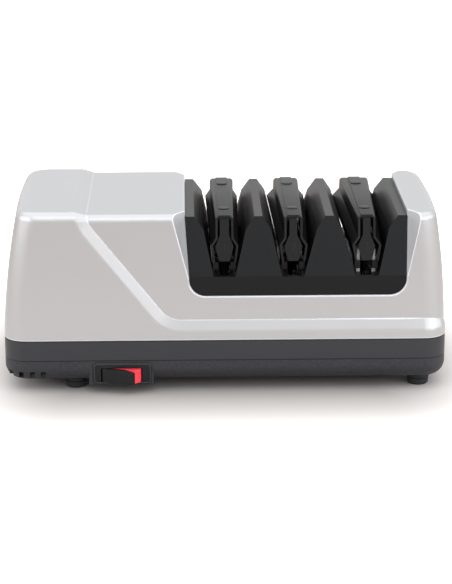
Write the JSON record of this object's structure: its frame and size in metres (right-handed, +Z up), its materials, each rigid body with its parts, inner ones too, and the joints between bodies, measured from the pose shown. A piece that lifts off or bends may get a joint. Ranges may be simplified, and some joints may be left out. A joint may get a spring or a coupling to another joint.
{
  "type": "electric knife sharpener",
  "caption": "Countertop knife sharpener with silver housing, sweeping shoulder, six sharpening slots between black guide teeth, sprung guides over driven disks, rocker switch.",
  "frame": {"origin": "middle of the footprint on the table, under the feet", "axes": "+X along the body away from the motor end, +Y from front to back, +Z up"},
  "size_m": [0.2474, 0.1192, 0.1035],
  "materials": {
    "silver_paint": "satin metallic paint",
    "charcoal_band": "satin moulded plastic",
    "black_base": "finely textured moulded plastic",
    "black_guides": "matte moulded plastic",
    "spring_plastic": "satin moulded strip",
    "rivet_plastic": "satin",
    "switch_black": "semi-gloss",
    "switch_red": "gloss, translucent look",
    "brass": "stamped",
    "bobbin_plastic": "moulded nylon",
    "copper_winding": "enamelled wire",
    "lamination_steel": "stacked laminations",
    "rotor_aluminium": "turned",
    "zinc_plated_steel": "zinc plated",
    "bright_steel": "ground",
    "sintered_bronze": "sintered",
    "grit_disk": "abrasive coated",
    "strop_disk": "abrasive-filled flexible composite",
    "magnet": "ferrite",
    "rubber": "moulded rubber"
  },
  "bodies": {
    "root": {"top_housing": "silver_paint", "trim_band": "charcoal_band", "base_pan": "black_base", "guide_tray": "black_guides", "tooth_left": "black_guides", "tooth_middle_a": "black_guides", "tooth_middle_b": "black_guides", "tooth_right": "black_guides", "tooth_screws": "zinc_plated_steel", "guide_post_1": "black_guides", "guide_post_2": "black_guides", "guide_post_3": "black_guides", "guide_spring_1": "spring_plastic", "guide_spring_2": "spring_plastic", "guide_spring_3": "spring_plastic", "spring_rivets": "rivet_plastic", "motor_stator": "lamination_steel", "motor_core_bar": "lamination_steel", "motor_bobbin": "bobbin_plastic", "motor_coil": "copper_winding", "motor_bracket_front": "zinc_plated_steel", "motor_bracket_rear": "zinc_plated_steel", "motor_bushing_front": "sintered_bronze", "motor_bushing_rear": "sintered_bronze", "motor_bolts": "zinc_plated_steel", "bearing_stand": "black_guides", "end_bushing": "sintered_bronze", "bracket_screws": "zinc_plated_steel", "switch_bezel": "switch_black", "switch_terminals": "brass", "cord_gland": "rubber", "foot_front_left": "rubber", "foot_rear_left": "rubber", "foot_front_right": "rubber", "foot_rear_right": "rubber", "foot_screws": "zinc_plated_steel", "case_screws": "zinc_plated_steel", "dresser_pivot": "bright_steel"},
    "rocker": {"rocker_cap": "switch_black", "rocker_core": "switch_red"},
    "drive": {"drive_shaft": "bright_steel", "rotor_core": "rotor_aluminium", "cooling_fan": "black_guides", "drive_pins": "bright_steel", "disk_spring_1": "bright_steel", "disk_spring_2": "bright_steel", "disk_spring_3": "bright_steel"},
    "dresser": {"dresser_lever": "black_guides", "dresser_pads": "grit_disk"},
    "cleanout": {"cleanout_cover": "black_base", "dust_magnet": "magnet"},
    "disk_1a_body": {"disk_1a": "grit_disk"},
    "disk_1b_body": {"disk_1b": "grit_disk"},
    "disk_2a_body": {"disk_2a": "grit_disk"},
    "disk_2b_body": {"disk_2b": "grit_disk"},
    "disk_3a_body": {"disk_3a": "strop_disk"},
    "disk_3b_body": {"disk_3b": "strop_disk"}
  },
  "joints": [
    {"name": "rocker_tilt", "type": "hinge", "parent": "root", "child": "rocker", "pos_m": [-0.0577, -0.05136, 0.011], "axis": [0, 0, 1], "range_deg": [0, 34]},
    {"name": "shaft_spin", "type": "hinge", "parent": "root", "child": "drive", "pos_m": [0, 0, 0.047], "axis": [1, 0, 0], "continuous": true},
    {"name": "disk_1a_slide", "type": "slide", "parent": "drive", "child": "disk_1a_body", "axis": [1, 0, 0], "range_m": [0, 0.0012], "stiffness_N_per_m": 1000, "springref_m": -0.002, "deforming": ["disk_spring_1"]},
    {"name": "disk_1b_slide", "type": "slide", "parent": "drive", "child": "disk_1b_body", "axis": [-1, 0, 0], "range_m": [0, 0.0012], "stiffness_N_per_m": 1000, "springref_m": -0.002, "deforming": ["disk_spring_1"]},
    {"name": "disk_2a_slide", "type": "slide", "parent": "drive", "child": "disk_2a_body", "axis": [1, 0, 0], "range_m": [0, 0.0012], "stiffness_N_per_m": 1000, "springref_m": -0.002, "deforming": ["disk_spring_2"]},
    {"name": "disk_2b_slide", "type": "slide", "parent": "drive", "child": "disk_2b_body", "axis": [-1, 0, 0], "range_m": [0, 0.0012], "stiffness_N_per_m": 1000, "springref_m": -0.002, "deforming": ["disk_spring_2"]},
    {"name": "disk_3a_slide", "type": "slide", "parent": "drive", "child": "disk_3a_body", "axis": [1, 0, 0], "range_m": [0, 0.0012], "stiffness_N_per_m": 1000, "springref_m": -0.002, "deforming": ["disk_spring_3"]},
    {"name": "disk_3b_slide", "type": "slide", "parent": "drive", "child": "disk_3b_body", "axis": [-1, 0, 0], "range_m": [0, 0.0012], "stiffness_N_per_m": 1000, "springref_m": -0.002, "deforming": ["disk_spring_3"]},
    {"name": "dresser_swing", "type": "hinge", "parent": "root", "child": "dresser", "pos_m": [0.0775, 0.0426, 0.03], "axis": [0, 0, 1], "range_deg": [-6, 6]},
    {"name": "cleanout_pull", "type": "slide", "parent": "root", "child": "cleanout", "axis": [0, 0, -1], "range_m": [0, 0.005]}
  ]
}
